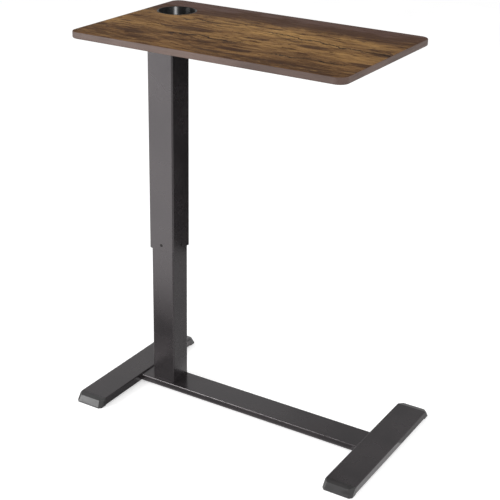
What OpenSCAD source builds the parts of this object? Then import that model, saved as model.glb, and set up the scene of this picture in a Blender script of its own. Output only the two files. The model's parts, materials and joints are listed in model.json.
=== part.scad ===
// Overbed table: a wood-grain top, with a cup holder, on a telescoping square column
// that stands at one end of a flat base, so that the top reaches over a bed or a chair.
// A locking gas spring inside the column carries the top, and a lever under the board frees it.
// X runs along the top, Y across it and Z up. The origin is on the floor, under the middle
// of the base. Millimetres.

/* [Tabletop] */
// Length of the top, along X
top_length = 650; // [620:5:680]
// Depth of the top, along Y
top_depth = 400; // [380:5:420]
// Thickness of the board
top_thickness = 15; // [15:1:18]
// Corner radius of the board, seen from above
top_corner_r = 22; // [12:1:40]
// Height of the top's upper face, with the column at its usual setting
top_height = 900; // [890:5:920]
// Distance from the base's left end to the top's left end
top_inset = 19; // [0:1:40]
// Thickness of the edge band round the board
band_t = 1; // [0.5:0.5:2]

/* [Base] */
// Length of the base over both feet, along X
base_length = 738; // [720:2:780]
// Length of a foot over its end caps, along Y
foot_length = 406; // [386:2:410]
// Width of a foot
foot_width = 72; // [60:1:80]
// Height of a foot's upper face above the floor
foot_height = 20; // [20:1:24]
// Width of the bar that joins the feet
bar_width = 72; // [68:1:80]
// Height of the bar's upper face above the floor
bar_top = 16.5; // [16:0.5:18]
// Height of the steel tubes above the floor
sole_lift = 1; // [0.5:0.5:2]
// Length of a foot's end cap outside its tube
cap_length = 22; // [18:1:26]

/* [Column] */
// Distance from the top's left end to the column's centre line
column_inset = 115; // [110:1:130]
// Width of the outer tube, which is fixed to the top
outer_tube_w = 67; // [66:1:68]
// Length of the outer tube
outer_tube_length = 504; // [460:1:520]
// Width of the inner tube, which stands on the base
inner_tube_w = 60; // [58:1:60]
// Length of the inner tube
inner_tube_length = 530; // [500:5:540]
// Wall thickness of every steel tube
wall = 2; // [1.5:0.5:2]

/* [Gas spring] */
// Outer diameter of the cylinder
cylinder_d = 28; // [24:1:30]
// Length of the cylinder, without its neck
cylinder_length = 570; // [560:5:580]
// Diameter of the rod
rod_d = 10; // [8:1:10]
// Height of the piston above the floor
piston_z = 380; // [375:5:400]

/* [Release lever] */
// Distance from the gas spring's axis to the lever's pivot
pivot_offset = 18; // [17:1:19]
// Length of the lever, from its pivot to its end
lever_length = 155; // [140:5:160]
// Slope of the lever below the horizontal at rest, in degrees
lever_droop = 5.6; // [5:0.1:6]

/* [Cup holder] */
// Clear diameter of the cup holder
cup_bore_d = 84; // [78:1:84]
// Clear depth of the cup holder
cup_depth = 52; // [40:1:60]
// Diameter of the cup holder's flange
cup_flange_d = 91; // [91:1:96]
// Distance from the top's left end to the cup holder's centre
cup_inset_x = 71.5; // [68:0.5:74]
// Distance from the top's rear edge to the cup holder's centre
cup_inset_y = 102; // [90:1:102]

/* [Hidden] */
$fn = 64;

steel_black = "#4b484a";
steel_dark = "#3c393b";
plastic_black = "#262526";
zinc = "#a9abad";
eps = 1;            // how far a cut runs past a face
skin = 0.5;         // thickness of a section that only gives a hull its outline
free_gap = 0.3;     // play between a part and another that moves past it
run_gap = 0.05;     // radial play of a shaft in its bearing
rim_gap = 0.1;      // play of a loose fit between fixed parts

// Places that the other parts follow
top_x0 = top_inset - base_length / 2;
top_x1 = top_x0 + top_length;
top_xc = (top_x0 + top_x1) / 2;
column_x = top_x0 + column_inset;
cup_x = top_x0 + cup_inset_x;
cup_y = top_depth / 2 - cup_inset_y;
board_z = top_height - top_thickness;

// Rails and plate under the board
rail_w = 20;
rail_h = 12;
rail_wall = 1.5;
rail_length = 520;
rail_y = 40;
rail_x0 = column_x - 76;
plate_length = 140;
plate_width = 104;
plate_t = 3;
plate_z = board_z - rail_h - plate_t;
plate_bolt_x = 55;
rail_screw_x = [220, 440];      // from the rail's left end
rail_screw_r = 2.2;
rail_screw_bite = 11;
rail_screw_head_r = 4.5;
rail_screw_head_h = 2.8;
plate_bolt_bite = 10;
plate_bolt_head_r = 6;
plate_bolt_head_h = 4;
insert_r = 5;
insert_h = 11;

// Column
outer_z0 = plate_z - outer_tube_length;
inner_z0 = bar_top;
inner_z1 = inner_z0 + inner_tube_length;
outer_corner_r = 3.5;
inner_corner_r = 3;
outer_bore_w = outer_tube_w - 2 * wall;
inner_bore_w = inner_tube_w - 2 * wall;
glide_h = 24;
glide_lid = 2;
glide_opening = 48;
glide_screw_r = 3.9;
glide_screw_z = outer_z0 + 12;
glide_screw_bite = 0.5;
glide_screw_recess = 0.4;
glide_socket_r = 2.3;
glide_socket_depth = 1.2;

// Column's foot
base_plate_t = 8;
column_bolt_r = 3;
column_bolt_pitch = 34;
column_bolt_head_r = 5;
column_bolt_head_h = 6;
access_r = 7;

// Feet and the tongues that hold them to the bar
foot_tube_h = foot_height - sole_lift;
bar_h = bar_top - sole_lift;
tube_corner_r = 2.5;
foot_x = base_length / 2 - foot_width / 2;
bar_length = base_length - 2 * foot_width;
tongue_length = 34;
tongue_gap = 0.4;
tongue_side_gap = 4;
tongue_h = bar_h - 2 * wall - 2 * tongue_gap;
tongue_w = bar_width - 2 * (wall + tongue_side_gap);
foot_screw_r = 3;
foot_screw_head_r = 6;
foot_screw_length = 10;
foot_screw_pitch = 36;

// End caps of the feet
cap_y0 = foot_length / 2 - cap_length;
cap_brow = cap_length * 0.65;
cap_brow_drop = 3;
cap_sole_h = 2.5;
cap_corner = 9;
cap_sole_corner = 6;
cap_plug_length = 18;
cap_plug_gap = 0.5;

// Gas spring
seat_t = 4;
seat_z = plate_z - 36;
cylinder_wall = 1.5;
cylinder_z0 = seat_z - cylinder_length;
cylinder_end_t = 12;
neck_r = 7;
neck_h = 12.5;
neck_nut_r = 12.25;
neck_nut_h = 6;
valve_r = 3;
valve_length = 23;
gland_h = 20;
gland_lift = 2;
lip_r = 9;
piston_h = 12;
rod_stud_r = 4;
rod_nut_h = 6.5;
rod_nut_r = 7.5;

// Release lever
pivot_x = column_x + pivot_offset;
pivot_z = plate_z - 14;
pivot_r = 3;
hub_r = 6;
nose_r = 4;
lever_w = 20;
lever_t = 3;
hub_w = 22;
nose_w = 12;
web_w = 10;
grip_w = 30;
grip_t = 10;
grip_length = 75;
grip_wall = 5;
slot_w = hub_w + 1;
slot_h = 14;
slot_drop = 3.3;    // from the pivot down to the slot's lower edge, where the lever rests
clip_r = 5.5;
clip_t = 1;
spacer_r = 4.5;
pin_head_r = 5;
pin_head_t = 2;
pin_tail = 0.75;    // how far the pin stands out of its clip

// Cup holder
cup_wall = 1.6;
cup_floor = 2.5;
cup_r = cup_bore_d / 2;
cup_flange_t = 1.5;
cup_mouth_chamfer = 0.6;
cup_heel_chamfer = 2;
cup_hole_r = cup_r + cup_wall + free_gap;

// A rectangle with round corners, centred
module rounded_rect(w, d, r) {
    square([w - 2 * r, d], center = true);
    square([w, d - 2 * r], center = true);
    for (sx = [-1, 1], sy = [-1, 1])
        translate([sx * (w / 2 - r), sy * (d / 2 - r)]) circle(r = r);
}

// A rectangular tube along Z, centred on its axis, from z = 0
module tube_z(w, d, h, r, t) {
    difference() {
        linear_extrude(h) rounded_rect(w, d, r);
        translate([0, 0, -eps])
            linear_extrude(h + 2 * eps) rounded_rect(w - 2 * t, d - 2 * t, max(r - t, 0.5));
    }
}

// The same tube along X, starting at x = 0, w wide and h high
module tube_x(length, w, h, r, t) {
    rotate([90, 0, 90]) tube_z(w, h, length, r, t);
}

// The same tube along Y, centred
module tube_y(length, w, h, r, t) {
    translate([0, length / 2, 0]) rotate([90, 0, 0]) tube_z(w, h, length, r, t);
}

// A cylinder along Y, centred
module rod_y(r, length) {
    rotate([90, 0, 0]) cylinder(r = r, h = length, center = true);
}

// A bolt that points up, with its head's seat at z = 0 and a hexagon socket
module bolt_up(r, length, head_r, head_h) {
    difference() {
        union() {
            cylinder(r = r, h = length);
            translate([0, 0, -head_h]) cylinder(r = head_r, h = head_h);
        }
        translate([0, 0, -head_h - eps]) cylinder(r = head_r * 0.5, h = head_h * 0.6 + eps, $fn = 6);
    }
}

// The four corners of a rectangle centred on the column
module at_column_corners(pitch_x, pitch_y) {
    for (sx = [-1, 1], sy = [-1, 1])
        translate([column_x + sx * pitch_x, sy * pitch_y, 0]) children();
}

// The places of the screws that hold the tongues: side is -1 at the left, 1 at the right
module at_foot_screws(side) {
    for (sy = [-1, 1])
        translate([side * (bar_length / 2 - tongue_length * 0.6), sy * foot_screw_pitch / 2, sole_lift])
            children();
}

// A countersunk screw or, with some play, the hole it needs
module countersunk(play) {
    cylinder(r1 = foot_screw_head_r + play, r2 = foot_screw_r + play, h = foot_screw_r);
    cylinder(r = foot_screw_r + play, h = foot_screw_length);
}

module base_bar() color(steel_black)
    difference() {
        translate([-bar_length / 2, 0, sole_lift + bar_h / 2])
            tube_x(bar_length, bar_width, bar_h, tube_corner_r, wall);
        at_column_corners(column_bolt_pitch / 2, column_bolt_pitch / 2) {
            cylinder(r = column_bolt_r + free_gap, h = bar_top + eps);
            cylinder(r = access_r, h = bar_top / 2);
        }
        translate([column_x, 0, 0]) {
            cylinder(r = rod_stud_r + free_gap, h = bar_top + eps);
            cylinder(r = rod_nut_r + 1.5, h = bar_top / 2);
        }
        for (side = [-1, 1])
            at_foot_screws(side) countersunk(rim_gap);
    }

module foot_tube(side) color(steel_black)
    translate([side * foot_x, 0, sole_lift + foot_tube_h / 2])
        tube_y(foot_length - 2 * cap_length, foot_width, foot_tube_h, tube_corner_r, wall);

module left_foot() foot_tube(-1);

module right_foot() foot_tube(1);

// Steel tongue, welded to a foot's inner side, that the bar slides over
module tongue(side) color(steel_dark)
    difference() {
        translate([side * (bar_length - tongue_length) / 2, 0, sole_lift + bar_h / 2])
            cube([tongue_length, tongue_w, tongue_h], center = true);
        at_foot_screws(side) countersunk(rim_gap);
    }

module left_tongue() tongue(-1);

module right_tongue() tongue(1);

module foot_screws() color(zinc)
    for (side = [-1, 1])
        at_foot_screws(side)
            difference() {
                countersunk(0);
                translate([0, 0, -eps]) cylinder(r = foot_screw_r * 0.75, h = 2 + eps, $fn = 6);
            }

// A foot's end cap: its brow slopes down from the tube, its end leans out to the sole,
// its corners are cut and a plug fills the tube
module end_cap(side, end) {
    color(plastic_black)
    translate([side * foot_x, 0, 0])
    scale([1, end, 1]) {
        hull() {
            translate([0, cap_y0, 0])
                rotate([90, 0, 0]) mirror([0, 0, 1])
                    linear_extrude(skin) translate([0, foot_height / 2])
                        rounded_rect(foot_width, foot_height, tube_corner_r, $fn = 32);
            translate([0, 0, foot_height - cap_brow_drop - skin])
                linear_extrude(skin) cap_outline(cap_brow, cap_corner);
            linear_extrude(cap_sole_h) cap_outline(cap_length, cap_sole_corner);
        }
        translate([0, cap_y0 - cap_plug_length / 2, sole_lift + foot_tube_h / 2])
            cube([foot_width - 2 * (wall + cap_plug_gap), cap_plug_length,
                  foot_tube_h - 2 * (wall + cap_plug_gap)], center = true);
    }
}

// Plan of an end cap that stands reach proud of the tube, with its corners cut
module cap_outline(reach, cut) {
    half = foot_width / 2;
    end_y = cap_y0 + reach;
    polygon([
        [-half, cap_y0], [half, cap_y0], [half, end_y - cut],
        [half - cut, end_y], [cut - half, end_y], [-half, end_y - cut]
    ]);
}

module left_front_cap() end_cap(-1, -1);

module left_rear_cap() end_cap(-1, 1);

module right_front_cap() end_cap(1, -1);

module right_rear_cap() end_cap(1, 1);

// Plate welded inside the inner tube's foot, with threads for the bolts and a hole for the rod
module column_base_plate() color(steel_dark)
    difference() {
        translate([column_x, 0, inner_z0])
            linear_extrude(base_plate_t) rounded_rect(inner_bore_w, inner_bore_w, 1);
        at_column_corners(column_bolt_pitch / 2, column_bolt_pitch / 2)
            cylinder(r = column_bolt_r + rim_gap, h = inner_z0 + base_plate_t + eps);
        translate([column_x, 0, 0])
            cylinder(r = rod_stud_r + rim_gap, h = inner_z0 + base_plate_t + eps);
    }

module column_bolts() color(zinc)
    at_column_corners(column_bolt_pitch / 2, column_bolt_pitch / 2)
        translate([0, 0, bar_top - wall])
            bolt_up(column_bolt_r, wall + base_plate_t, column_bolt_head_r, column_bolt_head_h);

module inner_tube() color(steel_black)
    translate([column_x, 0, inner_z0])
        tube_z(inner_tube_w, inner_tube_w, inner_tube_length, inner_corner_r, wall);

// Nylon cap on the inner tube's head, which slides in the outer tube
module upper_glide() color(plastic_black)
    difference() {
        translate([column_x, 0, inner_z1 - glide_h])
            linear_extrude(glide_h + glide_lid)
                rounded_rect(outer_bore_w - 2 * free_gap, outer_bore_w - 2 * free_gap, 2);
        translate([column_x, 0, inner_z1 - glide_h - eps])
            linear_extrude(glide_h + eps) rounded_rect(inner_tube_w, inner_tube_w, inner_corner_r);
        translate([column_x, 0, inner_z1 - eps])
            linear_extrude(glide_lid + 2 * eps) rounded_rect(glide_opening, glide_opening, 4);
    }

module gas_rod() color("silver")
    translate([column_x, 0, 0]) {
        translate([0, 0, inner_z0 + base_plate_t])
            cylinder(d = rod_d, h = piston_z - inner_z0 - base_plate_t);
        translate([0, 0, bar_top - wall - rod_nut_h])
            cylinder(r = rod_stud_r, h = wall + rod_nut_h + base_plate_t);
    }

module gas_piston() color(zinc)
    translate([column_x, 0, piston_z])
        cylinder(r = cylinder_d / 2 - cylinder_wall - free_gap, h = piston_h);

module rod_nut() color(zinc)
    translate([column_x, 0, bar_top - wall - rod_nut_h])
        difference() {
            cylinder(r = rod_nut_r, h = rod_nut_h, $fn = 6);
            translate([0, 0, -eps]) cylinder(r = rod_stud_r + rim_gap, h = rod_nut_h + 2 * eps);
        }

module outer_tube() color(steel_black)
    difference() {
        translate([column_x, 0, outer_z0])
            tube_z(outer_tube_w, outer_tube_w, outer_tube_length, outer_corner_r, wall);
        translate([column_x, -slot_w / 2, pivot_z - slot_drop])
            cube([outer_tube_w, slot_w, slot_h]);
        translate([pivot_x, 0, pivot_z]) rod_y(pivot_r + run_gap, outer_tube_w + 2 * eps);
        for (turn = [0, 90])
            translate([column_x, 0, glide_screw_z]) rotate([0, 0, turn])
                rod_y(glide_screw_r + rim_gap, outer_tube_w + 2 * eps);
    }

// Nylon sleeve inside the outer tube's lower end, which slides on the inner tube
module lower_glide() color(plastic_black)
    difference() {
        translate([column_x, 0, outer_z0])
            tube_z(outer_bore_w, outer_bore_w, glide_h, outer_corner_r - wall,
                   (outer_bore_w - inner_tube_w) / 2 - free_gap);
        at_glide_screws() rod_y(glide_screw_r + rim_gap, 2 * glide_screw_bite);
    }

// The middle of each of the outer tube's four faces, on its inner side
module at_glide_screws()
    for (turn = [0:90:270])
        translate([column_x, 0, glide_screw_z]) rotate([0, 0, turn])
            translate([0, outer_bore_w / 2, 0]) children();

// Set screws that press the lower glide on the inner tube
module glide_screws() color(steel_dark)
    at_glide_screws()
        difference() {
            translate([0, (wall - glide_screw_bite - glide_screw_recess) / 2, 0])
                rod_y(glide_screw_r, wall + glide_screw_bite - glide_screw_recess);
            translate([0, wall, 0]) rotate([90, 0, 0])
                cylinder(r = glide_socket_r, h = glide_screw_recess + glide_socket_depth, $fn = 6);
        }

// Plate welded across the outer tube, which carries the gas spring's cylinder
module cylinder_seat() color(steel_dark)
    translate([column_x, 0, seat_z])
        difference() {
            linear_extrude(seat_t) rounded_rect(outer_bore_w, outer_bore_w, 1.5);
            translate([0, 0, -eps]) cylinder(r = neck_r + rim_gap, h = seat_t + 2 * eps);
        }

module gas_cylinder() color("#1f1f20")
    translate([column_x, 0, cylinder_z0])
        difference() {
            union() {
                cylinder(d = cylinder_d, h = cylinder_length);
                cylinder(r = neck_r, h = cylinder_length + neck_h);
            }
            translate([0, 0, gland_lift])
                cylinder(r = cylinder_d / 2 - cylinder_wall,
                         h = cylinder_length - cylinder_end_t - gland_lift);
            translate([0, 0, -eps]) cylinder(r = lip_r, h = gland_lift + 2 * eps);
            cylinder(r = valve_r + run_gap, h = cylinder_length + neck_h + eps);
        }

// Rod guide and seal at the cylinder's lower end
module rod_gland() color(zinc)
    translate([column_x, 0, cylinder_z0 + gland_lift])
        difference() {
            cylinder(r = cylinder_d / 2 - cylinder_wall, h = gland_h);
            translate([0, 0, -eps]) cylinder(r = rod_d / 2 + run_gap, h = gland_h + 2 * eps);
        }

module cylinder_nut() color(zinc)
    translate([column_x, 0, seat_z + seat_t])
        difference() {
            cylinder(r = neck_nut_r, h = neck_nut_h, $fn = 6);
            translate([0, 0, -eps]) cylinder(r = neck_r + rim_gap, h = neck_nut_h + 2 * eps);
        }

// Plate welded on the outer tube's head, which the rails are bolted to
module top_plate() color(steel_black)
    difference() {
        translate([column_x, 0, plate_z]) linear_extrude(plate_t)
            rounded_rect(plate_length, plate_width, 8);
        translate([0, 0, plate_z - eps])
            at_column_corners(plate_bolt_x, rail_y)
                cylinder(r = column_bolt_r + free_gap, h = plate_t + 2 * eps);
    }

// A rail under the board: side is -1 at the front, 1 at the rear
module rail(side) color(steel_black)
    difference() {
        translate([rail_x0, side * rail_y, board_z - rail_h / 2])
            tube_x(rail_length, rail_w, rail_h, 2, rail_wall);
        translate([0, 0, plate_z])
            at_column_corners(plate_bolt_x, rail_y)
                cylinder(r = column_bolt_r + free_gap, h = 2 * rail_h);
        for (x = rail_screw_x)
            translate([rail_x0 + x, side * rail_y, plate_z])
                cylinder(r = rail_screw_r + free_gap, h = 2 * rail_h);
    }

module front_rail() rail(-1);

module rear_rail() rail(1);

// Bolts through the plate and the rails into the board's inserts
module plate_bolts() color(zinc)
    translate([0, 0, plate_z])
        at_column_corners(plate_bolt_x, rail_y)
            bolt_up(column_bolt_r, plate_t + rail_h + plate_bolt_bite,
                    plate_bolt_head_r, plate_bolt_head_h);

module rail_screws() color(zinc)
    for (side = [-1, 1], x = rail_screw_x)
        translate([rail_x0 + x, side * rail_y, board_z - rail_h])
            bolt_up(rail_screw_r, rail_h + rail_screw_bite, rail_screw_head_r, rail_screw_head_h);

// Threaded inserts in the board's underside
module board_inserts() color("goldenrod")
    translate([0, 0, board_z])
        at_column_corners(plate_bolt_x, rail_y)
            difference() {
                cylinder(r = insert_r, h = insert_h);
                translate([0, 0, -eps])
                    cylinder(r = column_bolt_r + rim_gap, h = insert_h + 2 * eps);
            }

// Chipboard with a wood-grain face, drilled for the cup holder and the fixings
module tabletop() color("#7d5f43")
    difference() {
        translate([top_xc, 0, board_z]) linear_extrude(top_thickness)
            rounded_rect(top_length - 2 * band_t, top_depth - 2 * band_t, top_corner_r - band_t);
        translate([cup_x, cup_y, board_z - eps])
            cylinder(r = cup_hole_r, h = top_thickness + 2 * eps);
        translate([cup_x, cup_y, top_height - cup_flange_t])
            cylinder(r = cup_flange_d / 2 + free_gap, h = cup_flange_t + eps);
        translate([0, 0, board_z - eps])
            at_column_corners(plate_bolt_x, rail_y) cylinder(r = insert_r + run_gap, h = insert_h + eps);
        for (side = [-1, 1], x = rail_screw_x)
            translate([rail_x0 + x, side * rail_y, board_z - eps])
                cylinder(r = rail_screw_r + run_gap, h = rail_screw_bite + run_gap + eps);
    }

module edge_band() color("#6f5a57")
    translate([top_xc, 0, board_z])
        tube_z(top_length, top_depth, top_thickness, top_corner_r, band_t);

// Pin across the outer tube's head that the lever turns on, with a head at the front
module pivot_pin() color(zinc)
    translate([pivot_x, 0, pivot_z]) {
        rod_y(pivot_r, outer_tube_w + 2 * (clip_t + pin_tail));
        translate([0, -(outer_tube_w + pin_head_t) / 2, 0]) rod_y(pin_head_r, pin_head_t);
    }

// Nylon spacers that keep the lever in the middle of its pin
module pivot_spacers() color(plastic_black)
    for (side = [-1, 1])
        translate([pivot_x, side * (hub_w / 2 + free_gap + outer_bore_w / 2) / 2, pivot_z])
            difference() {
                rod_y(spacer_r, outer_bore_w / 2 - hub_w / 2 - free_gap);
                rod_y(pivot_r + run_gap, outer_bore_w);
            }

module pivot_clip() color(zinc)
    translate([pivot_x, outer_tube_w / 2 + clip_t / 2, pivot_z])
        difference() {
            rod_y(clip_r, clip_t);
            rod_y(pivot_r + run_gap, clip_t + 2 * eps);
        }

// Steel lever: lifting its outer end presses its nose on the gas spring's valve pin
module release_lever() color(steel_dark)
    translate([pivot_x, 0, pivot_z])
        difference() {
            union() {
                rod_y(hub_r, hub_w);
                translate([-pivot_offset, 0, 0]) rod_y(nose_r, nose_w);
                translate([-pivot_offset, -web_w / 2, -nose_r / 2])
                    cube([pivot_offset - pivot_r - 1, web_w, nose_r]);
                rotate([0, lever_droop, 0]) translate([pivot_r + 1, -lever_w / 2, -lever_t / 2])
                    cube([lever_length - pivot_r - 1, lever_w, lever_t]);
            }
            rod_y(pivot_r + run_gap, hub_w + 2 * eps);
        }

// Plastic sleeve on the lever's outer end
module lever_grip() color(plastic_black)
    translate([pivot_x, 0, pivot_z]) rotate([0, lever_droop, 0])
        difference() {
            translate([lever_length + grip_wall - grip_length, 0, 0]) rotate([90, 0, 90])
                linear_extrude(grip_length) rounded_rect(grip_w, grip_t, 4);
            translate([0, -lever_w / 2 - rim_gap, -lever_t / 2 - rim_gap])
                cube([lever_length + rim_gap, lever_w + 2 * rim_gap, lever_t + 2 * rim_gap]);
        }

module valve_pin() color("silver")
    translate([column_x, 0, pivot_z - nose_r - free_gap - valve_length])
        cylinder(r = valve_r, h = valve_length);

// Drop-in cup with a thin flange that rests in a rebate, flush with the board
module cup_holder() color("#0f0f10")
    translate([cup_x, cup_y, top_height])
        rotate_extrude()
            polygon([
                [0, -cup_depth - cup_floor],
                [cup_r + cup_wall - cup_heel_chamfer, -cup_depth - cup_floor],
                [cup_r + cup_wall, cup_heel_chamfer - cup_depth - cup_floor],
                [cup_r + cup_wall, -cup_flange_t],
                [cup_flange_d / 2, -cup_flange_t],
                [cup_flange_d / 2, 0],
                [cup_r + cup_mouth_chamfer, 0],
                [cup_r, -cup_mouth_chamfer],
                [cup_r, -cup_depth],
                [0, -cup_depth]
            ]);

base_bar();
left_foot();
right_foot();
left_tongue();
right_tongue();
foot_screws();
left_front_cap();
left_rear_cap();
right_front_cap();
right_rear_cap();
column_base_plate();
column_bolts();
inner_tube();
upper_glide();
gas_rod();
gas_piston();
rod_nut();
outer_tube();
lower_glide();
glide_screws();
cylinder_seat();
gas_cylinder();
rod_gland();
cylinder_nut();
top_plate();
front_rail();
rear_rail();
plate_bolts();
rail_screws();
board_inserts();
tabletop();
edge_band();
pivot_pin();
pivot_spacers();
pivot_clip();
release_lever();
lever_grip();
valve_pin();
cup_holder();
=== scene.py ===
import json
import math

import bmesh
import bpy
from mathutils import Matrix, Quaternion, Vector


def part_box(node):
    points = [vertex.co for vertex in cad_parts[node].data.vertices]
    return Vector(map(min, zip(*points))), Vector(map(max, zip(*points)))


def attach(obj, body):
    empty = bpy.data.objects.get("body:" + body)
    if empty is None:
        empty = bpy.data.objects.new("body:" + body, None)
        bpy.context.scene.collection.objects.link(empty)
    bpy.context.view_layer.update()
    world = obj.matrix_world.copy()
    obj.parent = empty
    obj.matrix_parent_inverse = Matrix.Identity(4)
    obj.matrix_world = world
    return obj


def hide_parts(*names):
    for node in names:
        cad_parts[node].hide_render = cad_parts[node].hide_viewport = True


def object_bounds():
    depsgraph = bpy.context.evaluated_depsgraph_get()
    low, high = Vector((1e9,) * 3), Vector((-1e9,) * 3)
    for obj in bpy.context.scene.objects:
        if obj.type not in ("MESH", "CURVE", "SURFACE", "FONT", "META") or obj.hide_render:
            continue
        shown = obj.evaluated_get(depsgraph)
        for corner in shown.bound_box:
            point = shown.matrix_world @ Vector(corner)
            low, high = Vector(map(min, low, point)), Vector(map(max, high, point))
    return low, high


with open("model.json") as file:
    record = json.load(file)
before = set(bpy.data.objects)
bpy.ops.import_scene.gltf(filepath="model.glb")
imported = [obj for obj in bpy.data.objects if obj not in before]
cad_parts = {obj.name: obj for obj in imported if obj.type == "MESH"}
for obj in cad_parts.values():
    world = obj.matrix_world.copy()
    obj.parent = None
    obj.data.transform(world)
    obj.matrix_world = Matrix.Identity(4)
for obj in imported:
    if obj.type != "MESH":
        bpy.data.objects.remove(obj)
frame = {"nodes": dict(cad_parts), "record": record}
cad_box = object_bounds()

# ---------------------------------------------------------------- sizes
MM = 0.001
BOARD_ROUND = 2.5 * MM          # rounding of the board's upper and lower edges
ARC_STEPS = 8                   # segments in a quarter of a round edge
CORNER_STEPS = 16               # segments in a quarter of a board corner
CUP_SEGMENTS = 96
MICRO_BEVEL = 0.35 * MM         # the broken edge of sheet steel and tube ends
TUBE_BEVEL = 0.6 * MM
CAP_BEVEL = 0.9 * MM            # the rounded edge of a moulded end cap
BOLT_BEVEL = 0.4 * MM
WELD_DISTANCE = 0.001 * MM      # points nearer than this are one point
FLAT_ANGLE = 0.2                # faces within this angle, in degrees, become one face
BEVEL_ANGLE = 28                # edges sharper than this, in degrees, are broken
SMOOTH_ANGLE = 35               # edges below this, in degrees, are shaded smooth

# Camera: the viewing angle in degrees, its distance from the aim and its lens in millimetres
CAMERA_AZIMUTH = 30.886
CAMERA_ELEVATION = 23.521
CAMERA_ROLL = 1.221
CAMERA_DISTANCE = 2.6746
CAMERA_LENS = 85.255
CAMERA_AIM = Vector((-0.01396, 0.0, 0.40838))

collection = bpy.context.scene.collection
nodes = frame["nodes"]
cup_low, cup_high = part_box("cup_holder")


# ---------------------------------------------------------------- shader helper
class Shader:
    """A procedural material, built one node at a time. Textures read the object's own coordinates."""

    def __init__(self, name):
        self.material = bpy.data.materials.new(name)
        self.material.use_nodes = True
        self.tree = self.material.node_tree
        self.surface = self.tree.nodes["Principled BSDF"]

    def add(self, kind, **settings):
        node = self.tree.nodes.new(kind)
        for key, value in settings.items():
            setattr(node, key, value)
        return node

    def feed(self, socket, value):
        """Links an output to a socket, or sets the socket's own value."""
        if isinstance(value, bpy.types.NodeSocket):
            self.tree.links.new(value, socket)
        else:
            socket.default_value = value

    def place(self, scale, offset=(0, 0, 0)):
        """Object coordinates stretched by scale, in features per metre."""
        mapping = self.add("ShaderNodeMapping")
        mapping.inputs["Scale"].default_value = scale
        mapping.inputs["Location"].default_value = offset
        coordinates = self.add("ShaderNodeTexCoord")
        self.feed(mapping.inputs["Vector"], coordinates.outputs["Object"])
        return mapping.outputs["Vector"]

    def noise(self, scale, detail=4, roughness=0.55, distortion=0.0, offset=(0, 0, 0)):
        scale = scale if hasattr(scale, "__len__") else (scale,) * 3
        texture = self.add("ShaderNodeTexNoise")
        self.feed(texture.inputs["Vector"], self.place(scale, offset))
        texture.inputs["Scale"].default_value = 1.0
        texture.inputs["Detail"].default_value = detail
        texture.inputs["Roughness"].default_value = roughness
        texture.inputs["Distortion"].default_value = distortion
        return texture.outputs["Fac"]

    def axis(self, name):
        """One of the object's coordinates: X, Y or Z."""
        split = self.add("ShaderNodeSeparateXYZ")
        self.feed(split.inputs[0], self.add("ShaderNodeTexCoord").outputs["Object"])
        return split.outputs[name]

    def ramp(self, factor, stops):
        """A colour ramp: stops are (place, colour or grey)."""
        ramp = self.add("ShaderNodeValToRGB")
        elements = ramp.color_ramp.elements
        while len(elements) < len(stops):
            elements.new(0.5)
        for element, (place, value) in zip(elements, stops):
            element.position = place
            element.color = (*value, 1) if hasattr(value, "__len__") else (value, value, value, 1)
        self.feed(ramp.inputs["Fac"], factor)
        return ramp.outputs["Color"]

    def span(self, factor, low, high, to_low=0.0, to_high=1.0):
        """factor mapped from low..high to to_low..to_high, and clamped."""
        mapped = self.add("ShaderNodeMapRange", clamp=True, interpolation_type="SMOOTHSTEP")
        for name, value in (("From Min", low), ("From Max", high), ("To Min", to_low), ("To Max", to_high)):
            mapped.inputs[name].default_value = value
        self.feed(mapped.inputs["Value"], factor)
        return mapped.outputs["Result"]

    def maths(self, operation, a, b=0.0):
        node = self.add("ShaderNodeMath", operation=operation)
        self.feed(node.inputs[0], a)
        self.feed(node.inputs[1], b)
        return node.outputs[0]

    def mix(self, factor, a, b, blend="MIX"):
        node = self.add("ShaderNodeMix", data_type="RGBA", blend_type=blend)
        self.feed(node.inputs["Factor"], factor)
        sockets = [s for s in node.inputs if s.type == "RGBA"]
        for socket, value in zip(sockets, (a, b)):
            self.feed(socket, value if isinstance(value, bpy.types.NodeSocket) else (*value, 1))
        return [s for s in node.outputs if s.type == "RGBA"][0]

    def bump(self, height, depth, strength=1.0, normal=None):
        """Relief of the given depth in metres."""
        node = self.add("ShaderNodeBump")
        node.inputs["Strength"].default_value = strength
        node.inputs["Distance"].default_value = depth
        self.feed(node.inputs["Height"], height)
        if normal is not None:
            self.feed(node.inputs["Normal"], normal)
        return node.outputs["Normal"]

    def finish(self, colour, roughness, normal=None, **settings):
        """Sets the surface. A setting's name is the socket's, with _ for a space."""
        if not isinstance(colour, bpy.types.NodeSocket):
            colour = (*colour, 1)
        self.feed(self.surface.inputs["Base Color"], colour)
        self.feed(self.surface.inputs["Roughness"], roughness)
        if normal is not None:
            self.feed(self.surface.inputs["Normal"], normal)
        for name, value in settings.items():
            self.surface.inputs[name.replace("_", " ")].default_value = value
        return self.material


# ---------------------------------------------------------------- materials
def powder_coat(name, light, dark, roughness, specular=0.5):
    """Semi-gloss black powder coat: orange peel, fine grit and a faint cloudiness."""
    s = Shader(name)
    cloud = s.noise(9, detail=3)
    grit = s.noise(2600, detail=2)
    peel = s.noise(420, detail=2, roughness=0.4)
    tone = s.mix(s.span(cloud, 0.35, 0.65), dark, light)
    tone = s.mix(s.span(grit, 0.62, 0.78, 0, 0.30), tone, tuple(1.8 * c for c in light))
    gloss = s.span(cloud, 0.3, 0.7, roughness - 0.03, roughness + 0.04)
    normal = s.bump(grit, 0.0012 * MM, 0.4, s.bump(peel, 0.008 * MM, 0.4))
    return s.finish(tone, gloss, normal, Specular_IOR_Level=specular,
                    Specular_Tint=(1.0, 0.93, 0.955, 1.0))


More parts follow.
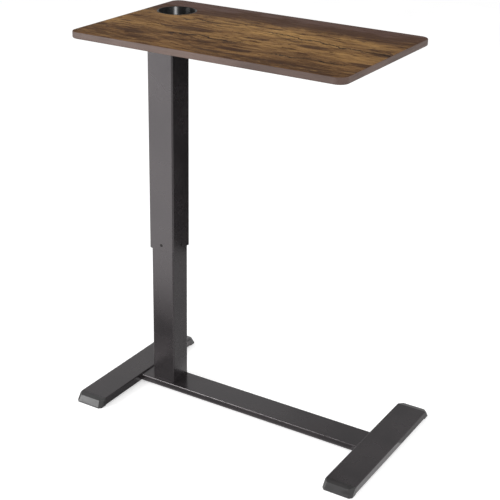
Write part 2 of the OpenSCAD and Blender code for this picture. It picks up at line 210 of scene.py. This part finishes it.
def wood_crack(s, place, slope, start, stop, seed):
    """A dark wavy line along X: it crosses X = 0 at Y = place and fades out at start and stop."""
    along = s.axis("X")
    sway = s.noise((13, 0, 0), detail=5, roughness=0.62, offset=(seed, seed, 0))
    path = s.maths("ADD", s.maths("MULTIPLY", along, slope), s.maths("MULTIPLY", sway, 0.08))
    off = s.maths("ABSOLUTE", s.maths("SUBTRACT", s.maths("SUBTRACT", s.axis("Y"), path), place - 0.04))
    width = s.span(s.noise((40, 0, 0), detail=3, offset=(seed, 9, 0)), 0.35, 0.65, 1.5 * MM, 7 * MM)
    line = s.maths("SUBTRACT", 1.0, s.maths("DIVIDE", off, width))
    inside = s.maths("MULTIPLY", s.span(along, start, start + 0.03), s.span(along, stop - 0.04, stop, 1, 0))
    return s.maths("MULTIPLY", s.span(line, 0.0, 0.7), inside)


def wood_cloud(s, x, y, half_x, half_y, ragged):
    """A long dark cloud in the figure, with its edge broken by the ragged noise."""
    dx = s.maths("DIVIDE", s.maths("SUBTRACT", s.axis("X"), x), half_x)
    dy = s.maths("DIVIDE", s.maths("SUBTRACT", s.axis("Y"), y), half_y)
    reach = s.maths("ADD", s.maths("MULTIPLY", dx, dx), s.maths("MULTIPLY", dy, dy))
    reach = s.maths("ADD", reach, s.maths("MULTIPLY", s.maths("SUBTRACT", ragged, 0.5), 5.0))
    return s.span(reach, 0.5, 1.3, 1, 0)


# Clouds: place and half size along X and Y
CLOUDS = (
    (-0.150, -0.032, 0.055, 0.016), (0.015, -0.136, 0.040, 0.014), (0.140, -0.022, 0.040, 0.015),
    (0.292, -0.092, 0.045, 0.015), (0.110, -0.168, 0.170, 0.008), (-0.250, -0.120, 0.050, 0.012),
    (0.300, -0.008, 0.040, 0.010), (-0.100, 0.072, 0.045, 0.006), (0.220, 0.100, 0.060, 0.007),
)
# Cracks: place, slope, start and stop along X, and the seed of their waves
CRACKS = (
    (0.036, -0.13, -0.02, 0.33, 3.0), (-0.075, 0.05, -0.20, 0.02, 7.0),
    (-0.120, 0.02, 0.08, 0.28, 12.0), (0.055, 0.06, -0.24, -0.10, 15.0),
)


def rustic_laminate():
    """Rustic brown wood-grain laminate: gold heartwood, umber streaks, cracks and knots, with painted shade
    and a painted grey sheen towards the rear.
    """
    s = Shader("rustic_laminate")
    gold, brown, umber = (0.285, 0.158, 0.053), (0.135, 0.069, 0.026), (0.036, 0.016, 0.008)
    painted_sheen, soot, rust = (0.082, 0.048, 0.040), (0.012, 0.007, 0.004), (0.140, 0.058, 0.024)
    dark, shade, ochre = (0.080, 0.039, 0.015), (0.052, 0.025, 0.015), (0.450, 0.270, 0.090)
    broad = s.noise((3.4, 9, 4), detail=4, roughness=0.6, distortion=0.6)
    patch = s.noise((9, 26, 4), detail=7, roughness=0.68, distortion=0.9, offset=(3.1, 0.4, 0))
    blot = s.noise((15, 50, 4), detail=6, roughness=0.66, distortion=0.7, offset=(8.3, 4.1, 0))
    streak = s.noise((18, 105, 4), detail=7, roughness=0.70, distortion=0.7, offset=(0.3, 2.2, 0))
    light = s.noise((16, 120, 4), detail=6, roughness=0.68, distortion=0.6, offset=(5.3, 7.2, 0))
    grain = s.noise((40, 760, 4), detail=5, roughness=0.72, offset=(1.7, 0.9, 0))
    # gold heartwood: one band behind the middle, another near the front at the right
    back = s.span(s.maths("ABSOLUTE", s.maths("SUBTRACT", s.axis("Y"), 0.045)), 0.01, 0.10, 1, 0)
    front = s.span(s.maths("ABSOLUTE", s.maths("ADD", s.axis("Y"), 0.055)), 0.01, 0.06, 0.55, 0)
    back = s.maths("MULTIPLY", back, s.span(s.axis("X"), -0.42, -0.05, 0.35, 1))
    back = s.maths("MULTIPLY", back, s.span(s.axis("X"), 0.12, 0.30, 1, 0.25))
    heart = s.maths("MAXIMUM", back, front)
    warm = s.maths("ADD", s.maths("MULTIPLY", heart, 0.17), s.maths("MULTIPLY", broad, 0.40))
    warm = s.maths("ADD", warm, s.maths("MULTIPLY", patch, 0.60))
    tone = s.ramp(warm, [(0.38, umber), (0.47, dark), (0.57, brown), (0.76, gold)])
    tone = s.mix(s.span(streak, 0.47, 0.36, 0, 0.45), tone, gold)
    tone = s.mix(s.maths("MULTIPLY", heart, s.span(light, 0.52, 0.64, 0, 0.60)), tone, ochre)
    tone = s.mix(s.span(streak, 0.54, 0.61, 0, 0.70), tone, umber)
    tone = s.mix(s.span(blot, 0.56, 0.62, 0, 0.85), tone, umber)
    clouds = wood_cloud(s, *CLOUDS[0], patch)
    for cloud in CLOUDS[1:]:
        clouds = s.maths("MAXIMUM", clouds, wood_cloud(s, *cloud, patch))
    tone = s.mix(s.maths("MULTIPLY", clouds, 0.80), tone, umber)
    tone = s.mix(s.span(grain, 0.50, 0.61, 0, 0.50), tone, umber)
    tone = s.mix(s.span(grain, 0.47, 0.36, 0, 0.20), tone, gold)
    # Painted shade and a painted sheen. edge measures how far back a point lies, made ragged by the patch
    # noise and pushed forward at the left. Past the first band the board is darkened as painted shade, and
    # past the second it is greyed as a painted sheen.
    edge = s.maths("ADD", s.axis("Y"), s.maths("MULTIPLY", s.maths("SUBTRACT", patch, 0.5), 0.20))
    edge = s.maths("ADD", edge, s.span(s.axis("X"), -0.35, -0.10, 0.03, 0))
    tone = s.mix(s.span(edge, 0.085, 0.120, 0, 0.90), tone, shade)
    tone = s.mix(s.span(edge, 0.140, 0.180, 0, 0.85), tone, painted_sheen)
    tone = s.mix(s.span(streak, 0.55, 0.62, 0, 0.45), tone, umber)
    cracks = wood_crack(s, *CRACKS[0])
    for crack in CRACKS[1:]:
        cracks = s.maths("MAXIMUM", cracks, wood_crack(s, *crack))
    tone = s.mix(s.maths("MULTIPLY", cracks, 0.92), tone, soot)
    knots = s.add("ShaderNodeTexVoronoi", feature="F1")
    s.feed(knots.inputs["Vector"], s.place((6.5, 15, 3), (0.4, 0.2, 0)))
    tone = s.mix(s.span(knots.outputs["Distance"], 0.10, 0.22, 0.35, 0), tone, rust)
    tone = s.mix(s.span(knots.outputs["Distance"], 0.02, 0.12, 0.85, 0), tone, umber)
    relief = s.maths("ADD", s.maths("MULTIPLY", grain, 0.5), s.maths("MULTIPLY", streak, 0.5))
    relief = s.maths("SUBTRACT", relief, s.maths("MULTIPLY", cracks, 0.8))
    gloss = s.span(streak, 0.3, 0.7, 0.46, 0.60)
    return s.finish(tone, gloss, s.bump(relief, 0.12 * MM, 0.5), Specular_IOR_Level=0.02)


def edge_band_plastic():
    """Printed edge band: the laminate's grey brown, with a faint lengthwise grain."""
    s = Shader("edge_band_plastic")
    along = s.noise((16, 16, 260), detail=5, roughness=0.65)
    cloud = s.noise((7, 7, 20), detail=3)
    tone = s.ramp(cloud, [(0.32, (0.058, 0.034, 0.026)), (0.68, (0.102, 0.063, 0.050))])
    tone = s.mix(s.span(along, 0.5, 0.75, 0, 0.45), tone, (0.042, 0.024, 0.019))
    return s.finish(tone, s.span(along, 0.3, 0.7, 0.42, 0.55), s.bump(along, 0.05 * MM, 0.4),
                    Specular_IOR_Level=0.3)


def backing_laminate():
    """Plain brown backing sheet under the board, with a fine paper texture."""
    s = Shader("backing_laminate")
    fibre = s.noise((60, 700, 60), detail=4)
    cloud = s.noise(12, detail=3)
    tone = s.mix(s.span(cloud, 0.3, 0.7), (0.105, 0.068, 0.045), (0.135, 0.090, 0.060))
    tone = s.mix(s.span(fibre, 0.5, 0.7, 0, 0.3), tone, (0.07, 0.045, 0.03))
    return s.finish(tone, s.span(fibre, 0.3, 0.7, 0.55, 0.68), s.bump(fibre, 0.04 * MM, 0.4))


def moulded_plastic(name, colour, roughness, grain_scale=1500, depth=0.012):
    """Injection-moulded plastic with a spark-eroded grain and faint flow marks."""
    s = Shader(name)
    grain = s.noise(grain_scale, detail=2, roughness=0.6)
    flow = s.noise((14, 40, 60), detail=3, distortion=1.2)
    tone = s.mix(s.span(flow, 0.35, 0.65), colour, tuple(1.35 * c for c in colour))
    gloss = s.span(flow, 0.3, 0.7, roughness - 0.03, roughness + 0.06)
    return s.finish(tone, gloss, s.bump(grain, depth * MM, 0.6))


def gloss_cup_plastic():
    """Polished black plastic of the cup holder, with a ghost of swirl marks."""
    s = Shader("gloss_cup_plastic")
    swirl = s.noise((40, 40, 5), detail=4, distortion=2.0)
    dust = s.noise(1900, detail=2)
    tone = s.mix(s.span(dust, 0.66, 0.8, 0, 0.25), (0.005, 0.005, 0.005), (0.02, 0.02, 0.02))
    tangent = s.add("ShaderNodeTangent", direction_type="RADIAL", axis="Z")
    s.feed(s.surface.inputs["Tangent"], tangent.outputs[0])
    rim = s.span(s.axis("Z"), cup_high.z - 1.2 * MM, cup_high.z - 0.6 * MM, 0.30, 0.08)
    s.feed(s.surface.inputs["Specular IOR Level"], rim)
    return s.finish(tone, s.span(swirl, 0.3, 0.7, 0.37, 0.42), s.bump(swirl, 0.01 * MM, 0.1),
                    Anisotropic=0.95, Anisotropic_Rotation=0.25)


def zinc_plate(name, colour=(0.56, 0.57, 0.58), roughness=0.32):
    """Zinc-plated steel: brushed, slightly mottled."""
    s = Shader(name)
    brush = s.noise((1300, 1300, 90), detail=3)
    mottle = s.noise(240, detail=3)
    tone = s.mix(s.span(mottle, 0.35, 0.65), tuple(0.78 * c for c in colour), colour)
    gloss = s.span(mottle, 0.3, 0.7, roughness - 0.07, roughness + 0.1)
    return s.finish(tone, gloss, s.bump(brush, 0.01 * MM, 0.5), Metallic=1.0)


def ground_chrome():
    """Hard-chromed rod, ground round, so its marks run round it."""
    s = Shader("ground_chrome")
    rings = s.noise((30, 30, 3200), detail=2)
    tone = s.mix(s.span(rings, 0.4, 0.6), (0.70, 0.71, 0.73), (0.80, 0.81, 0.83))
    return s.finish(tone, s.span(rings, 0.3, 0.7, 0.10, 0.20), s.bump(rings, 0.003 * MM, 0.4), Metallic=1.0)


def weld_steel():
    """Painted weld bead."""
    s = Shader("painted_weld")
    spatter = s.noise(700, detail=3)
    tone = s.mix(s.span(spatter, 0.4, 0.7), (0.020, 0.019, 0.020), (0.045, 0.043, 0.045))
    return s.finish(tone, s.span(spatter, 0.3, 0.7, 0.30, 0.45), s.bump(spatter, 0.08 * MM, 0.6))


materials = {
    "frame_paint": powder_coat(
        "frame_powder_coat", (0.019, 0.0165, 0.0175), (0.014, 0.0125, 0.0135), 0.25, 0.55),
    "inner_steel": powder_coat("satin_black_paint", (0.034, 0.033, 0.034), (0.024, 0.023, 0.024), 0.42),
    "cylinder_paint": powder_coat("gloss_black_paint", (0.014, 0.014, 0.015), (0.010, 0.010, 0.011), 0.16),
    "wood_board": rustic_laminate(),
    "edge_band": edge_band_plastic(),
    "end_caps": moulded_plastic("end_cap_plastic", (0.020, 0.019, 0.0195), 0.34),
    "nylon": moulded_plastic("black_nylon", (0.020, 0.020, 0.021), 0.48, 900, 0.02),
    "grip_plastic": moulded_plastic("grip_plastic", (0.022, 0.022, 0.023), 0.50, 1100, 0.03),
    "cup_plastic": gloss_cup_plastic(),
    "zinc_fasteners": zinc_plate("zinc_plate"),
    "set_screws": zinc_plate("black_oxide", (0.045, 0.043, 0.042), 0.38),
    "brass_inserts": zinc_plate("turned_brass", (0.80, 0.56, 0.24), 0.28),
    "polished_rod": ground_chrome(),
}


# ---------------------------------------------------------------- CAD nodes that stay
def dress(name, slot, bevel, segments=2):
    """Gives a CAD node its material and breaks its sharp edges."""
    obj = nodes[name]
    obj.data.materials.clear()
    obj.data.materials.append(materials[slot])
    obj.modifiers.new("weld", "WELD").merge_threshold = WELD_DISTANCE
    flat = obj.modifiers.new("flat", "DECIMATE")
    flat.decimate_type = "DISSOLVE"
    flat.angle_limit = math.radians(FLAT_ANGLE)
    edge = obj.modifiers.new("edge", "BEVEL")
    edge.width = bevel
    edge.segments = segments
    edge.limit_method = "ANGLE"
    edge.angle_limit = math.radians(BEVEL_ANGLE)
    edge.use_clamp_overlap = True
    shade = obj.modifiers.new("shade", "WEIGHTED_NORMAL")
    shade.keep_sharp = True


slot_of = {row["node"]: row["material_slot"] for row in frame["record"]["subparts"]}
special_bevel = {
    "left_front_cap": CAP_BEVEL, "left_rear_cap": CAP_BEVEL,
    "right_front_cap": CAP_BEVEL, "right_rear_cap": CAP_BEVEL,
    "foot_screws": 0.2 * MM, "column_bolts": BOLT_BEVEL, "plate_bolts": BOLT_BEVEL,
    "rail_screws": BOLT_BEVEL, "cylinder_nut": BOLT_BEVEL, "rod_nut": BOLT_BEVEL,
    "base_bar": TUBE_BEVEL, "left_foot": TUBE_BEVEL, "right_foot": TUBE_BEVEL,
    "release_lever": 0.6 * MM, "lever_grip": 1.2 * MM, "pivot_pin": 0.5 * MM,
}
for node_name in sorted(nodes):
    dress(node_name, slot_of[node_name], special_bevel.get(node_name, MICRO_BEVEL))


# ---------------------------------------------------------------- new pieces
def make_piece(name, mesh_builder, body, slot, surfaces=None, replaces=()):
    """A new mesh piece that rides on a body: mesh_builder fills a bmesh. Its slot gives its material."""
    bm = bmesh.new()
    mesh_builder(bm)
    bmesh.ops.recalc_face_normals(bm, faces=bm.faces)
    mesh = bpy.data.meshes.new(name)
    bm.to_mesh(mesh)
    bm.free()
    mesh.polygons.foreach_set("use_smooth", [True] * len(mesh.polygons))
    mesh.set_sharp_from_angle(angle=math.radians(SMOOTH_ANGLE))
    for surface in surfaces or [materials[slot]]:
        mesh.materials.append(surface)
    obj = bpy.data.objects.new(name, mesh)
    collection.objects.link(obj)
    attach(obj, body)
    if replaces:
        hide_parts(*replaces)


def rounded_outline(low, high, radius, inset, steps):
    """Points round a rectangle with round corners, inset inwards, counter-clockwise."""
    radius = max(radius - inset, 1e-5)
    x0, x1, y0, y1 = low.x + inset, high.x - inset, low.y + inset, high.y - inset
    corners = ((x1, y0, -90), (x1, y1, 0), (x0, y1, 90), (x0, y0, 180))
    points = []
    for x, y, start in corners:
        cx = x - math.copysign(radius, x - (x0 + x1) / 2)
        cy = y - math.copysign(radius, y - (y0 + y1) / 2)
        for i in range(steps + 1):
            a = math.radians(start + 90 * i / steps)
            points.append((cx + radius * math.cos(a), cy + radius * math.sin(a)))
    return points


def ring(bm, points, z):
    return [bm.verts.new((x, y, z)) for x, y in points]


def stitch(bm, a, b, material_index=0):
    """Quads between two closed rings of the same length."""
    faces = []
    for i in range(len(a)):
        j = (i + 1) % len(a)
        face = bm.faces.new((a[i], a[j], b[j], b[i]))
        face.material_index = material_index
        faces.append(face)
    return faces


def edge_profile(start, stop, steps):
    """(inset, drop) along the quarter round from inset start to inset stop, start nearer the middle."""
    r = BOARD_ROUND
    turn = [math.acos(min(1, max(-1, (r - inset) / r))) for inset in (start, stop)]
    profile = []
    for i in range(steps + 1):
        a = turn[0] + (turn[1] - turn[0]) * i / steps
        profile.append((r - r * math.cos(a), r - r * math.sin(a)))
    return profile


top_low, top_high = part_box("edge_band")
core_low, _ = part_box("tabletop")
band_t = core_low.x - top_low.x
BOARD_CORNER = 22 * MM
cup_centre = (cup_low + cup_high) / 2
cup_flange_r = (cup_high.x - cup_low.x) / 2
CUP_WALL = 1.6 * MM
CUP_LEDGE = 1.9 * MM            # how far the flange stands out of the wall
CUP_FLANGE_T = 1.5 * MM
CUP_PLAY = 0.3 * MM
cup_outer_r = cup_flange_r - CUP_LEDGE


def circle(radius):
    """Points round the cup holder's axis."""
    turns = [2 * math.pi * i / CUP_SEGMENTS for i in range(CUP_SEGMENTS)]
    return [(cup_centre.x + radius * math.cos(a), cup_centre.y + radius * math.sin(a)) for a in turns]


def fill_between(bm, outer, inner, material_index):
    """Triangles between an outer loop and a loop inside it, in one plane."""
    loops = [[bm.edges.get((loop[i], loop[(i + 1) % len(loop)])) for i in range(len(loop))]
             for loop in (outer, inner)]
    filled = bmesh.ops.triangle_fill(bm, edges=loops[0] + loops[1], use_beauty=True, use_dissolve=False)
    for item in filled["geom"]:
        if isinstance(item, bmesh.types.BMFace):
            item.material_index = material_index


def board_mesh(bm):
    """The board: laminate face, rounded edge, backing face and the rebated hole for the cup."""
    top, bottom = top_high.z, top_low.z
    upper = edge_profile(BOARD_ROUND, band_t, ARC_STEPS // 2)
    levels = [(inset, top - drop) for inset, drop in upper]
    levels += [(inset, bottom + drop) for inset, drop in reversed(upper)]
    rings = [ring(bm, rounded_outline(top_low, top_high, BOARD_CORNER, inset, CORNER_STEPS), z)
             for inset, z in levels]
    for a, b in zip(rings, rings[1:]):
        stitch(bm, a, b)
    rebate, hole = circle(cup_flange_r + CUP_PLAY), circle(cup_outer_r + CUP_PLAY)
    steps = [ring(bm, rebate, top), ring(bm, rebate, top - CUP_FLANGE_T),
             ring(bm, hole, top - CUP_FLANGE_T), ring(bm, hole, bottom)]
    for a, b in zip(steps, steps[1:]):
        stitch(bm, b, a, 1)
    fill_between(bm, rings[0], steps[0], 0)
    fill_between(bm, rings[-1], steps[-1], 1)


def band_mesh(bm):
    """The edge band: the outer part of the round edge, and a thin flat strip behind it."""
    top, bottom = top_high.z, top_low.z
    upper = edge_profile(band_t, 0, ARC_STEPS // 2)
    levels = [(inset, top - drop) for inset, drop in upper]
    levels += [(inset, bottom + drop) for inset, drop in reversed(upper)]
    rings = [ring(bm, rounded_outline(top_low, top_high, BOARD_CORNER, inset, CORNER_STEPS), z)
             for inset, z in levels]
    for a, b in zip(rings, rings[1:] + rings[:1]):
        stitch(bm, a, b)


make_piece("board", board_mesh, "upper", "wood_board",
           [materials["wood_board"], backing_laminate()], ["tabletop"])
make_piece("board_edge_band", band_mesh, "upper", "edge_band", None, ["edge_band"])


def lathe(bm, profile):
    """A solid of revolution about the cup's axis: profile is (radius, z), from the axis to the axis."""
    rings = []
    for radius, z in profile:
        if radius < 1e-7:
            rings.append([bm.verts.new((cup_centre.x, cup_centre.y, z))])
            continue
        rings.append(ring(bm, circle(radius), z))
    for a, b in zip(rings, rings[1:]):
        if len(a) == 1 or len(b) == 1:
            tip, loop = (a[0], b) if len(a) == 1 else (b[0], a)
            for i in range(CUP_SEGMENTS):
                bm.faces.new((tip, loop[i], loop[(i + 1) % CUP_SEGMENTS]))
        else:
            stitch(bm, a, b)


def fillet(centre_r, centre_z, radius, start, stop, steps=6):
    """(radius, z) points along an arc, its angles in degrees."""
    turns = [math.radians(start + (stop - start) * i / steps) for i in range(steps + 1)]
    return [(centre_r + radius * math.cos(a), centre_z + radius * math.sin(a)) for a in turns]


CUP_FLOOR_T = 2.5 * MM
CUP_LIP_R = 0.7 * MM            # rounding of the flange and of the mouth
CUP_FOOT_R = 3 * MM             # rounding under the cup
CUP_COVE_R = 4 * MM             # rounding inside, between wall and floor
CUP_RING_R = 27 * MM            # inside of the raised ring on the floor
CUP_RING_W = 3 * MM
CUP_RING_H = 0.6 * MM


def cup_mesh(bm):
    """The cup holder: thin rounded flange, straight wall, filleted floor with a raised ring."""
    inner_r = cup_outer_r - CUP_WALL
    top, bottom = cup_high.z, cup_low.z
    shoulder, floor = top - CUP_FLANGE_T, bottom + CUP_FLOOR_T
    lip, foot, cove = CUP_LIP_R, CUP_FOOT_R, CUP_COVE_R
    profile = [(0, bottom), (cup_outer_r - 2 * foot, bottom)]
    profile += fillet(cup_outer_r - foot, bottom + foot, foot, -90, 0)
    profile += [(cup_outer_r, shoulder), (cup_flange_r - 0.2 * MM, shoulder)]
    profile += fillet(cup_flange_r - lip, top - lip, lip, 0, 90)
    profile += fillet(inner_r + lip, top - lip, lip, 90, 180)
    profile += fillet(inner_r - cove, floor + cove, cove, 0, -90)
    profile += [(CUP_RING_R + CUP_RING_W, floor)]
    profile += [(CUP_RING_R + CUP_RING_W - CUP_RING_H, floor + CUP_RING_H)]
    profile += [(CUP_RING_R + CUP_RING_H, floor + CUP_RING_H), (CUP_RING_R, floor)]
    profile += [(0, floor)]
    lathe(bm, profile)


make_piece("cup_holder_shell", cup_mesh, "cup", "cup_plastic", None, ["cup_holder"])


joint_rows = {row["name"]: row for row in frame["record"]["behaviour"]["joints"]}
LEVER_PIVOT = Vector(joint_rows["lever_lift"]["pos_m"])
LEVER_DROOP = math.radians(5.6)
GRIP_START, GRIP_END = 85 * MM, 160 * MM        # along the lever, from its pivot
GRIP_HALF_W, GRIP_HALF_T = 15 * MM, 5 * MM
GRIP_END_R = 3 * MM
GRIP_SECTION_STEPS = 48
GRIP_STATIONS = 100
GRIP_SQUARENESS = 0.45          # 1 is an ellipse, 0 a rectangle
RIB_START, RIB_END = 10 * MM, 64 * MM           # along the grip, from its start
RIB_HALF_W = 12 * MM
RIB_PITCH = 6 * MM
RIB_DEPTH = 0.8 * MM


def squared(value):
    """A sine or cosine pushed outwards, for a section between an ellipse and a rectangle."""
    return math.copysign(abs(value) ** GRIP_SQUARENESS, value)


def grip_section(x):
    """Points round the grip at x along the lever, and the ribs cut in its underside."""
    from_end = min(x - GRIP_START, GRIP_END - x)
    rise = 1 - min(from_end / GRIP_END_R, 1)
    shrink = GRIP_END_R * (1 - math.sqrt(max(0.0, 1 - rise ** 2)))
    along = x - GRIP_START
    wave = 0.5 - 0.5 * math.cos(2 * math.pi * (along - RIB_START) / RIB_PITCH)
    rib = RIB_DEPTH * wave if RIB_START < along < RIB_END else 0.0
    points = []
    for i in range(GRIP_SECTION_STEPS):
        a = 2 * math.pi * i / GRIP_SECTION_STEPS
        y = (GRIP_HALF_W - shrink) * squared(math.cos(a))
        half_t = GRIP_HALF_T - shrink
        if math.sin(a) < -0.1 and abs(y) < RIB_HALF_W:
            half_t -= rib
        points.append((y, half_t * squared(math.sin(a))))
    return points


def on_lever(x, y, z):
    """A point given along, across and above the lever, in the shared frame."""
    droop_x, droop_z = math.cos(LEVER_DROOP), math.sin(LEVER_DROOP)
    return LEVER_PIVOT + Vector((x * droop_x + z * droop_z, y, z * droop_x - x * droop_z))


def grip_mesh(bm):
    """The grip: a rounded sleeve with finger ribs under it."""
    step = (GRIP_END - GRIP_START) / GRIP_STATIONS
    stations = [GRIP_START + step * i for i in range(5, GRIP_STATIONS - 4)]
    for fraction in (0, 0.03, 0.12, 0.3, 0.6):
        stations += [GRIP_START + GRIP_END_R * fraction, GRIP_END - GRIP_END_R * fraction]
    rings = []
    for x in sorted(stations):
        rings.append([bm.verts.new(on_lever(x, y, z)) for y, z in grip_section(x)])
    for a, b in zip(rings, rings[1:]):
        stitch(bm, a, b)
    bm.faces.new(rings[0])
    bm.faces.new(rings[-1])


make_piece("ribbed_grip", grip_mesh, "lever", "grip_plastic", None, ["lever_grip"])

tube_low, tube_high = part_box("outer_tube")
TUBE_CORNER = 3.5 * MM
WELD_R = 2.4 * MM
WELD_BITE = 0.3 * MM            # how far the bead goes into the tube and the plate


def weld_mesh(bm):
    """The fillet weld between the outer tube and the plate on its head."""
    rings = []
    for reach, drop in [(-WELD_BITE, -WELD_BITE)] + fillet(0, 0, WELD_R, 0, 90, 4):
        outline = rounded_outline(tube_low, tube_high, TUBE_CORNER, -reach, CORNER_STEPS)
        rings.append(ring(bm, outline, tube_high.z - drop))
    for a, b in zip(rings, rings[1:] + rings[:1]):
        stitch(bm, a, b)


make_piece("head_weld", weld_mesh, "upper", "frame_paint", [weld_steel()])


# ---------------------------------------------------------------- stage
FLOOR_HALF = 30.0
FLOOR_GAP = 0.2 * MM            # keeps the floor off the soles
FLOOR_GLOW = 0.30
WORLD_STRENGTH = 0.75


def add_camera():
    """The camera at the viewing angle, aimed at the middle of the table."""
    data = bpy.data.cameras.new("camera")
    data.lens = CAMERA_LENS
    camera = bpy.data.objects.new("camera", data)
    collection.objects.link(camera)
    a, e = math.radians(CAMERA_AZIMUTH), math.radians(CAMERA_ELEVATION)
    ahead = Vector((-math.sin(a) * math.cos(e), math.cos(a) * math.cos(e), -math.sin(e)))
    camera.location = CAMERA_AIM - ahead * CAMERA_DISTANCE
    roll = Quaternion((0, 0, 1), math.radians(CAMERA_ROLL))
    camera.rotation_mode = "QUATERNION"
    camera.rotation_quaternion = ahead.to_track_quat("-Z", "Y") @ roll
    bpy.context.scene.camera = camera


def add_softbox(name, location, aim, size, power, glint_only=False):
    """A rectangular area light that faces its aim. A glint-only one shows as a reflection alone."""
    data = bpy.data.lights.new(name, "AREA")
    data.shape = "RECTANGLE"
    data.size, data.size_y = size
    data.energy = power
    light = bpy.data.objects.new(name, data)
    light.location = location
    light.rotation_mode = "QUATERNION"
    light.rotation_quaternion = (Vector(aim) - Vector(location)).to_track_quat("-Z", "Y")
    light.visible_diffuse = not glint_only
    collection.objects.link(light)


def light_only(light_name, piece):
    """Limits a light to one piece, so that its glint shows nowhere else."""
    receivers = bpy.data.collections.new(light_name)
    receivers.objects.link(piece)
    bpy.data.objects[light_name].light_linking.receiver_collection = receivers


def floor_paint():
    """Pale floor with the faintest mottle, clear from below so that the underside can be seen."""
    s = Shader("pale_floor")
    mottle = s.noise(3, detail=3)
    tone = s.mix(s.span(mottle, 0.3, 0.7), (0.86, 0.86, 0.86), (0.90, 0.90, 0.90))
    s.finish(tone, 0.85, Specular_IOR_Level=0.1, Emission_Strength=FLOOR_GLOW)
    s.surface.inputs["Emission Color"].default_value = (1, 1, 1, 1)
    output = s.tree.nodes["Material Output"]
    clear = s.add("ShaderNodeBsdfTransparent")
    side = s.add("ShaderNodeMixShader")
    s.feed(side.inputs[0], s.add("ShaderNodeNewGeometry").outputs["Backfacing"])
    s.feed(side.inputs[1], s.surface.outputs[0])
    s.feed(side.inputs[2], clear.outputs[0])
    s.feed(output.inputs["Surface"], side.outputs[0])
    return s.material


def add_floor():
    """A wide floor under the feet."""
    half = FLOOR_HALF
    mesh = bpy.data.meshes.new("floor")
    corners = [(-half, -half, 0), (half, -half, 0), (half, half, 0), (-half, half, 0)]
    mesh.from_pydata(corners, [], [(0, 1, 2, 3)])
    mesh.materials.append(floor_paint())
    floor = bpy.data.objects.new("floor", mesh)
    floor.location.z = cad_box[0].z - FLOOR_GAP
    collection.objects.link(floor)


def add_world():
    """Even, pale surroundings."""
    world = bpy.data.worlds.new("studio")
    bpy.context.scene.world = world
    world.use_nodes = True
    background = world.node_tree.nodes["Background"]
    background.inputs["Color"].default_value = (1.0, 1.0, 1.0, 1)
    background.inputs["Strength"].default_value = WORLD_STRENGTH


def add_card(name, low, high, glow):
    """A studio card that only shows as a reflection: black felt, or a lit white one.

    It lies flat where low and high are at one height, and stands along X where they are not.
    """
    (x0, y0, z0), (x1, y1, z1) = low, high
    corners = [(x0, y0, z0), (x1, y0, z0), (x1, y1, z1), (x0, y1, z1)]
    mesh = bpy.data.meshes.new(name)
    mesh.from_pydata(corners, [], [(0, 1, 2, 3)])
    s = Shader(name)
    felt = s.noise(30, detail=2)
    s.finish(s.mix(felt, (0.004, 0.004, 0.004), (0.010, 0.010, 0.010)), 0.9,
             Specular_IOR_Level=0.0, Emission_Strength=glow)
    s.surface.inputs["Emission Color"].default_value = (1, 1, 1, 1)
    mesh.materials.append(s.material)
    card = bpy.data.objects.new(name, mesh)
    card.visible_camera = False
    card.visible_diffuse = False
    card.visible_shadow = False
    collection.objects.link(card)


add_camera()
add_world()
add_floor()
add_softbox("key", (-2.4, -2.6, 1.3), (-0.1, 0, 0.35), (1.6, 2.0), 85)
add_softbox("front", (1.52, -1.77, 2.8), (-0.28, 0.1, 0.9), (0.5, 0.6), 24)
add_softbox("glint", (1.52, -1.77, 2.8), (-0.28, 0.1, 0.9), (0.4, 0.6), 480, True)
add_softbox("edge_glint", (-1.4, -1.4, 2.4), (0, 0, 0.1), (0.5, 1.2), 60, True)
add_softbox("side", (2.8, -0.6, 1.6), (0, 0, 0.6), (1.2, 1.2), 10)
add_softbox("overhead", (0.2, 0.4, 3.0), (0, 0, 0.4), (2.4, 2.0), 12)
CARD_Z = 3 * MM                 # height of the cards that lie on the floor
add_card("flag_right", (-0.17, 0.2, 0.26), (0.12, 0.2, 0.87), 0.0)
add_card("bounce_left", (-4, -4, 0.004), (-0.42, -0.52, 0.004), 2.6)
add_card("dim_rear", (-0.16, 0.05, CARD_Z), (0.6, 1.2, CARD_Z), 0.5)
# dim_bar and dim_front are painted shade: dim sheets on the floor, seen only in reflections. They stand for
# the shaded floor in front of the bar and at the front left of the base.
add_card("dim_bar", (-0.26, -0.1, CARD_Z), (0.28, -0.04, CARD_Z), 0.4)
add_card("dim_front", (-0.6, -0.4, CARD_Z), (-0.2, -0.045, CARD_Z), 0.25)
add_card("flag_front", (-0.3, -1, 0), (0.6, -1, 0.35), 0.0)
add_card("dim_back", (-0.42, 1, 0.4), (0.4, 1, 1.2), 0.42)
light_only("glint", bpy.data.objects["cup_holder_shell"])
light_only("edge_glint", nodes["base_bar"])
bpy.context.scene.view_settings.view_transform = "Standard"
